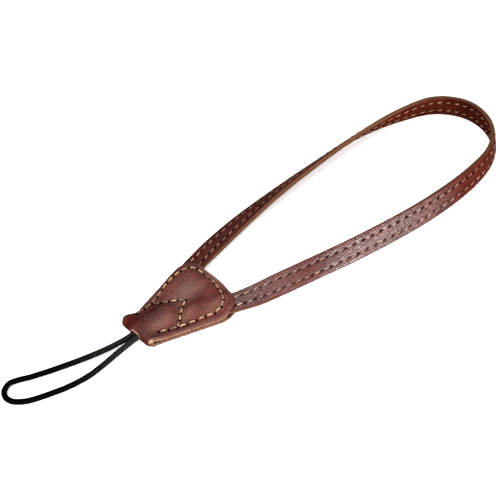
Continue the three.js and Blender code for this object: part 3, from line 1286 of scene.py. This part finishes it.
    def _upper_inner(self, back: float, y: float) -> float:
        """Height of the upper flap's inner face.

        Args:
            back: the distance behind the nose.
            y: the distance to the left of the middle.

        Returns:
            The height above the surface.
        """
        bare = self.leather + self._gap(back)
        opening = self.hole_height + self.hole_radius
        roof = mix(opening, self.cord_roof, rise(back, *self.throat))
        strap_roof = self.leather - self.pocket_depth + self.strap_room
        return max(
            bare,
            mix(bare, strap_roof, self._pocket(back, y, 0)),
            mix(bare, roof, self._channel(back, y, 0)),
        )

    def _top(self, back: float, y: float) -> float:
        """Height of the top, before it is sewn down.

        Args:
            back: the distance behind the nose.
            y: the distance to the left of the middle.

        Returns:
            The height above the surface.
        """
        sewn = 2 * self.leather + self.padding + mix(0, self.nose_rise, fall(back, *self.swell))
        sewn += self.belly * fall(abs(y), 3, 13) * rise(back, 17, 29) * fall(back, 36, 44)
        half = self._half_width(back)
        share = (y - self.flare_left * self._flare(back)) / half
        pressed = self.press * rise(abs(share), 0.78, 1)
        over_strap = mix(sewn, self.strap_top - pressed, self._pocket(back, y, 2.2))
        crown = mix(self.strap_top, self.cord_top, rise(back, *self.swell))
        return mix(over_strap, crown, self._channel(back, y, 2.6))

    def _sewn_down(self, back: float, y: float) -> tuple[float, float]:
        """How far the seams draw the leather down, and how much of a needle hole there is.

        Args:
            back: the distance behind the nose.
            y: the distance to the left of the middle.

        Returns:
            The depth, and the share of a needle hole, from 0 to 1.
        """
        here = Vector((back, y, 0))
        off = self.thread.find(here)[2]
        if off > 3:
            return 0.0, 0.0
        from_hole = self.holes.find(here)[2]
        pit = bump(from_hole, 0.6)
        drawn = 0.2 * bump(off, 0.8) + 0.25 * bump(off, 2.6) + 0.55 * pit
        return drawn, min(1.0, 1.6 * pit)

    def _edge_drop(self, back: float, y: float) -> float:
        """How far the leather is rounded off close to its edge."""
        off = self.edge.find(Vector((back, y, 0)))[2]
        return 0.32 * max(0.0, 1 - off / 1.7) ** 2 + 0.16 * bump(off - self.crease, 0.3)

    def _tone(self, x: float, y: float, sign: int) -> float:
        """How much painted highlight (sign 1) or painted shade (sign -1), with some mottling, lies at a
        place of the plan.

        Args:
            x: the distance along +X.
            y: the distance along +Y.
            sign: which of the two is asked for.

        Returns:
            How strong it is there, from 0 up.
        """
        return sum(
            abs(share) * bump(math.hypot((x - at_x) / reach_x, (y - at_y) / reach_y), 1)
            for at_x, at_y, reach_x, reach_y, share in self.painted_light_and_mottling
            if share * sign > 0
        )

    # --- Seams ---------------------------------------------------------------------------------

    def _seam(self, route: Sequence[tuple[float, float]]) -> Line:
        """A seam through a row of points on the plan, measured from the nose."""
        points = [Vector((x - self.nose_x, y, 0)) for x, y in route]
        return Line(smooth_through(points, 8, centripetal=True))

    def sewing(self, sewing: Sewing, finish: Thread) -> bpy.types.Object:
        """Makes the thread of the tab's seams, on the top and underneath.

        Args:
            sewing: the size of its stitches.
            finish: what the thread looks like.

        Returns:
            The thread's object.
        """
        mesh = bmesh.new()
        for seam in self.seams:
            holes = self._walk(seam, self.stitch)
            for start, end in pairwise(holes):
                run = (end - start).normalized()
                ends = (start + run * self.hole_margin, end - run * self.hole_margin)
                above = [self._on_top(p) for p in ends]
                below = [Vector((p.x + self.nose_x, p.y, self.thread_below)) for p in ends]
                sewing.sew(mesh, [Stitch(*above, UP), Stitch(*below, -UP)])
        piece = finished("tab_stitching", mesh, finish.material())
        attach(piece, "root")
        return piece

    def _on_top(self, plan: Vector) -> Vector:
        """The point of the sewn top over a point of the plan."""
        height = self._top(plan.x, plan.y) - self.thread_sink
        return Vector((plan.x + self.nose_x, plan.y, height))

    # --- Leather -------------------------------------------------------------------------------

    def build(self, leather: WaxedLeather, edge: CutEdge, flesh: CutEdge) -> bpy.types.Object:
        """Makes the folded leather.

        Args:
            leather: its grain side.
            edge: its cut edge.
            flesh: its inside.

        Returns:
            The tab's object.
        """
        upper, fold, lower = self.steps
        columns = upper + fold + lower
        layers = len(self.rim) - 1
        lattice = Lattice(columns, self.across_steps, layers)
        patches = [self._patch(inset) for inset, _ in self.rim]

        def station(cell: Cell) -> tuple[int, float, int]:
            """The column, the share of the half-width and the layer of a cell."""
            return round(cell.along * columns), 2 * cell.across - 1, round(cell.deep * layers)

        def plan(column: int, share: float, layer: int) -> Vector:
            """The point of a flap's plan.

            Args:
                column: the column, counted from the wide end of the upper flap.
                share: the share of the half-width.
                layer: the layer, 0 outside.

            Returns:
                The point, in millimetres behind the nose and to its left.
            """
            if column <= upper:
                return patches[layer](column / upper, share)
            return patches[layer]((columns - column) / lower, share)

        def place(cell: Cell) -> Vector:
            """Where a cell lies.

            Args:
                cell: the vertex's place in the lattice.

            Returns:
                The place, in millimetres.
            """
            column, share, layer = station(cell)
            deep = self.rim[layer][1]
            if upper < column < upper + fold:
                return self._in_fold(math.pi * (column - upper) / fold, share, layer)
            back, y, _ = plan(column, share, layer)
            if column <= upper:
                outside = self._top(back, y) - self._edge_drop(back, y)
                outside -= self._sewn_down(back, y)[0]
                outside += 0.16 * noise.noise(Vector((back / 7, y / 5, 3)))
                outside += 0.07 * noise.noise(Vector((back / 5, y / 1.2, 8)))
                inside = self._upper_inner(back, y)
            else:
                outside = self.floor_gap + self._edge_drop(back, y)
                outside += 0.5 * self._sewn_down(back, y)[0]
                inside = self._lower_inner(back, y)
            return Vector((back + self.nose_x, y, mix(outside, inside, deep)))

        def spot(cell: Cell) -> Vector:
            """Where a cell lies on the plan, and how high in the fold.

            Args:
                cell: the vertex's place in the lattice.

            Returns:
                The spot, in millimetres.
            """
            column, share, layer = station(cell)
            if upper < column < upper + fold:
                return self._in_fold(math.pi * (column - upper) / fold, share, layer)
            back, y, _ = plan(column, share, layer)
            return Vector((back + self.nose_x, y, self.roll))

        def pit(cell: Cell) -> float:
            """How dark a cell is painted: painted shade in the needle holes and in the dark places of the
            top, and darker along the pressed line.

            Args:
                cell: the vertex's place in the lattice.

            Returns:
                The darkness, from 0 to 1.
            """
            column, _, layer = station(cell)
            if layer:
                return 0.0
            here = spot(cell)
            # the painted shade of the top's dark places
            worn = self._tone(here.x, here.y, -1) if column <= upper + fold / 2 else 0.0
            if upper < column < upper + fold:
                return worn
            back = here.x - self.nose_x
            off = self.edge.find(Vector((back, here.y, 0)))[2]
            return max(self._sewn_down(back, here.y)[1], worn, 0.5 * bump(off - self.crease, 0.3))

        def raw(cell: Cell) -> float:
            """How tan the cut edge is: most on the near side of the upper flap, less on the far side and
            the lower flap, falling to none at the wide end.

            Args:
                cell: the vertex's place in the lattice.

            Returns:
                The share of tan, from 0 to 1.
            """
            side = 1.0 if cell.across < 0.5 else 0.4
            flap = 1.0 if station(cell)[0] <= upper + fold / 2 else 0.55
            return side * flap * rise(min(cell.along, 1 - cell.along), 0.0, 0.06)

        def pale_share(cell: Cell) -> float:
            """How pale a cell is: fibres pulled open on the near cut edge, along the seam and round the
            fold; on the top, paler round the upper rim of the hole, and painted highlights, with some
            mottling, at its pale places.

            Args:
                cell: the vertex's place in the lattice.

            Returns:
                The paleness, from 0 up.
            """
            column, share, layer = station(cell)
            here = spot(cell)
            turn = math.pi * max(0, column - upper) / fold
            if 0 < layer < layers:
                fibres = max(0.0, 0.25 + noise.noise(Vector((here.x * 1.3, here.y, 0))))
                seam = fibres * rise(layer, 3, 4) if column <= upper else 0.0
                bend = bump(turn - 0.75, 0.42) * fall(layer, 1, 4) if column > upper else 0.0
                return max(bend, seam) if share < 0 else 0.1
            if turn > math.pi / 2 or layer:
                return 0.0
            beside = max(0.0, abs(here.y) - self.hole_spacing / 2)
            from_rim = math.hypot(beside, here.z - self.hole_height) - self.hole_radius
            rim = bump(from_rim, 0.5) * rise(here.z, self.hole_height, self.hole_height + 1.2)
            # painted highlights of the top's pale places, and the hole's paler upper rim
            return max(self._tone(here.x, here.y, 1), rim if column > upper else 0.0)

        def matt(cell: Cell) -> float:
            """How matt a cell is: where shade is painted on the top, and towards the nose.

            Args:
                cell: the vertex's place in the lattice.

            Returns:
                The loss of shine, from 0 up.
            """
            if station(cell)[2] or station(cell)[0] > upper + fold:
                return 0.0
            here = spot(cell)
            # less shine where shade is painted
            worn = 2.4 * self._tone(here.x, here.y, -1)
            return min(0.75, worn + 0.3 * fall(here.x - self.nose_x, 3, 12))

        lattice.shape(place)
        lattice.mark("pit", pit)
        lattice.mark("pale_share", pale_share)
        lattice.mark("matt", matt)
        lattice.mark("deep", lambda cell: self.rim[station(cell)[2]][1])
        lattice.mark("raw", raw)
        lattice.dress(lambda cell: 1 if within(cell.deep) else 2 * round(cell.deep))
        piece = finished(
            "folded_tab", lattice.mesh, leather.material(), edge.material(), flesh.material()
        )
        self._cut_hole(piece)
        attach(piece, "root")
        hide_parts("end_tab")
        return piece

    def _patch(self, inset: float) -> Callable[[float, float], Vector]:
        """The plan of a flap, drawn in from its outline by an inset.

        Args:
            inset: how far its border lies inside the outline.

        Returns:
            A function that gives the point of the plan for a share of the way from the wide end
            to the fold, and a share of the half-width.
        """
        line = Line(self._outline(inset))
        corner = 0.87  # share of the half-width at which the wide end turns into a side
        reference = self._outline(0.0)
        ends = []
        for side in (-corner, corner):
            back = self._wide_end(side)
            spot = Vector((back, self._across(back, side), 0))
            nearest = min(range(len(reference)), key=lambda i: (reference[i] - spot).length)
            ends.append(line.marks[nearest])
        first, second = ends

        def fold_line(share: float) -> Vector:
            """The point where the flap meets the fold.

            Args:
                share: the share of the half-width.

            Returns:
                The point, in millimetres behind the nose and to its left.
            """
            back = self._front(share) + self.roll
            drawn = share * (1 - inset / self._half_width(back))
            return Vector((back, self._across(back, drawn), 0))

        def point(toward: float, share: float) -> Vector:
            """The point of the plan, ruled between the flap's four borders.

            Args:
                toward: the share of the way from the wide end to the fold.
                share: the share of the half-width.

            Returns:
                The point, in millimetres behind the nose and to its left.
            """
            left = (share + 1) / 2
            end = line.at(mix(first, second, left))
            near = line.at(mix(first, 0, toward))
            far = line.at(mix(second, line.length, toward))
            ruled = end.lerp(fold_line(share), toward) + near.lerp(far, left)
            tips = line.at(first).lerp(line.at(second), left)
            noses = fold_line(-1).lerp(fold_line(1), left)
            return ruled - tips.lerp(noses, toward)

        return point

    def _in_fold(self, turn: float, share: float, layer: int) -> Vector:
        """The point of the fold at a turn from its top, in a layer of the leather.

        Args:
            turn: the angle from the fold's top round its front.
            share: the share of the half-width.
            layer: the layer, 0 outside.

        Returns:
            The point, in millimetres.
        """
        inset, deep = self.rim[layer]
        centre = self._front(share) + self.roll
        across = self._across(centre, share * (1 - inset / self._half_width(centre)))
        depth = mix(self.roll, self.slot, deep)
        high = mix(self._top(centre, across), self._upper_inner(centre, across), deep)
        low = mix(self.floor_gap, self._lower_inner(centre, across), deep)
        back = centre - depth * math.sin(turn)
        flared = self._across(back, share * (1 - inset / self._half_width(centre)))
        return Vector((back + self.nose_x, flared, mix(low, high, (1 + math.cos(turn)) / 2)))

    def _cut_hole(self, piece: bpy.types.Object) -> None:
        """Cuts the hole for the cord's two ends through the fold.

        Args:
            piece: the tab's object, which gets a new mesh.
        """
        mesh = bmesh.new()
        bmesh.ops.create_cone(
            mesh,
            cap_ends=True,
            segments=48,
            radius1=self.hole_radius,
            radius2=self.hole_radius,
            depth=2 * self.cutter_reach,
            matrix=Matrix.Rotation(math.pi / 2, 4, "Y"),
        )
        for vert in mesh.verts:
            vert.co.y += math.copysign(self.hole_spacing / 2, vert.co.y)
            vert.co = (vert.co + Vector((self.nose_x, 0, self.hole_height))) * MM
        cutter = finished("hole_cutter", mesh, piece.data.materials[1])
        cut = piece.modifiers.new("hole", "BOOLEAN")
        cut.object = cutter
        cut.operation = "DIFFERENCE"
        cut.solver = "EXACT"
        cut.material_mode = "TRANSFER"
        shaped = piece.evaluated_get(bpy.context.evaluated_depsgraph_get())
        data = bpy.data.meshes.new_from_object(shaped)
        piece.modifiers.clear()
        piece.data = data
        bpy.data.objects.remove(cutter)


# === Studio ====================================================================================


@dataclass(frozen=True)
class Softbox:
    """A square lamp that looks at the strap."""

    name: str
    place: tuple[float, float, float]  # in metres
    size: float  # of its side, in metres
    power: float  # in watts
    colour: str = "ffffff"

    def hang(self, target: Vector) -> None:
        """Hangs the lamp and points it.

        Args:
            target: the point that it looks at, in metres.
        """
        lamp = bpy.data.lights.new(self.name, "AREA")
        lamp.size = self.size
        lamp.energy = self.power
        lamp.color = linear(self.colour)[:3]
        stand = bpy.data.objects.new(self.name, lamp)
        stand.location = self.place
        stand.rotation_euler = (target - Vector(self.place)).to_track_quat("-Z", "Y").to_euler()
        bpy.context.scene.collection.objects.link(stand)


@dataclass
class Studio:
    """The camera, the floor and the lights."""

    azimuth: float = -116.54  # this and the next two are in degrees
    elevation: float = 43.38
    roll: float = -13.6
    distance: float = 452.7
    target: tuple[float, float, float] = (46.4, 8.8, 0.0)
    lens: float = 71.9
    sensor: float = 36.0
    nearest: float = 10.0  # what lies closer to the camera is not seen
    floor: float = 6000.0
    world: float = 0.14  # strength of the light from all around
    lamps: tuple[Softbox, ...] = (
        Softbox("front_softbox", (0.06, -0.93, 0.17), 0.26, 25.0),
        Softbox("left_softbox", (-0.85, -0.25, 0.45), 0.4, 6.0),
        Softbox("top_softbox", (0.0, 0.4, 1.25), 2.0, 37.0, "fffefb"),
    )

    def place_camera(self) -> None:
        """Places the camera."""
        azimuth, elevation = math.radians(self.azimuth), math.radians(self.elevation)
        back = Vector((
            math.cos(elevation) * math.cos(azimuth),
            math.cos(elevation) * math.sin(azimuth),
            math.sin(elevation),
        ))  # fmt: skip
        right = Vector((-math.sin(azimuth), math.cos(azimuth), 0))
        up = back.cross(right)
        turn = math.radians(self.roll)
        across = right * math.cos(turn) + up * math.sin(turn)
        upright = up * math.cos(turn) - right * math.sin(turn)
        lens = bpy.data.cameras.new("camera")
        lens.lens = self.lens
        lens.sensor_width = self.sensor
        lens.clip_start = self.nearest * MM
        camera = bpy.data.objects.new("camera", lens)
        place = (Vector(self.target) + back * self.distance) * MM
        camera.matrix_world = Matrix.Translation(place) @ Matrix(
            (across, upright, back)
        ).transposed().to_4x4()
        bpy.context.scene.collection.objects.link(camera)
        bpy.context.scene.camera = camera
        bpy.context.scene.view_settings.view_transform = "Standard"

    def light(self, finish: Plain) -> bpy.types.Object:
        """Lays the floor and hangs the lamps.

        Args:
            finish: what the floor looks like.

        Returns:
            The floor's object.
        """
        mesh = bmesh.new()
        bmesh.ops.create_grid(mesh, x_segments=1, y_segments=1, size=self.floor / 2 * MM)
        floor = finished("floor", mesh, finish.material())
        floor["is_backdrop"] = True
        floor.visible_glossy = False
        for lamp in self.lamps:
            lamp.hang(Vector(self.target) * MM)
        world = bpy.data.worlds.new("studio")
        world.use_nodes = True
        sky = world.node_tree.nodes["Background"]
        sky.inputs["Color"].default_value = linear("ffffff")
        sky.inputs["Strength"].default_value = self.world
        bpy.context.scene.world = world
        return floor


# === Making ====================================================================================


def main() -> None:
    """Builds the strap, piece by piece."""
    logging.basicConfig(level=logging.INFO, format="%(message)s")
    studio = Studio()
    studio.place_camera()
    strap = WristStrap()
    tab = FoldedTab()
    strap_leather = WaxedLeather("strap_leather")
    lining = WaxedLeather(
        "lining_leather", deep="330f09", light="4d1e12",
        hollows=0.7, gloss=0.01, coat=0.0, roughness=(0.65, 0.8),
    )  # fmt: skip
    tab_leather = WaxedLeather(
        "tab_leather", deep="3d100a", light="602219", pale="c9a08c",
        streaks=0.45, hollows=0.35, pebble=1900, grain=0.00009,
        gloss=0.3, coat=0.0, roughness=(0.4, 0.55),
    )  # fmt: skip
    strap_edge = CutEdge("strap_edge", grain="3c160e", raw="66452c", gloss=0.1)
    pieces = [
        CordLoop().build(BraidedCord("braided_cord")),
        strap.ply_piece(
            Face.OUTER, "outer_ply", "strap_outer_ply", "strap_leather", strap_leather, strap_edge
        ),
        strap.ply_piece(
            Face.INNER, "inner_ply", "strap_inner_ply", "strap_lining_leather", lining, strap_edge
        ),
        strap.sewing(
            Sewing(radius=0.17, bulge=0.16, sink=0.3, taper=0.35),
            Thread("outer_thread", clean="9c8370"),
            Thread("lining_thread", clean="a67d5a", worn="6b4630"),
        ),
        tab.build(
            tab_leather,
            CutEdge("tab_edge", grain="451b13", raw="6c432a", gloss=0.3),
            CutEdge("tab_flesh", grain="402519", raw="5c3d29"),
        ),
        tab.sewing(
            Sewing(radius=0.34, bulge=0.26, sink=0.35),
            Thread("tab_thread", clean="a48561", worn="523626"),
        ),
        studio.light(Plain("floor_paper")),
    ]
    for piece in pieces:
        LOG.info("%s: %d faces", piece.name, len(piece.data.polygons))
    boxes = {"cad": CAD_BOX, "visual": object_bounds()}
    {name: [list(corner) for corner in box] for name, box in boxes.items()}


if __name__ == "__main__":
    main()
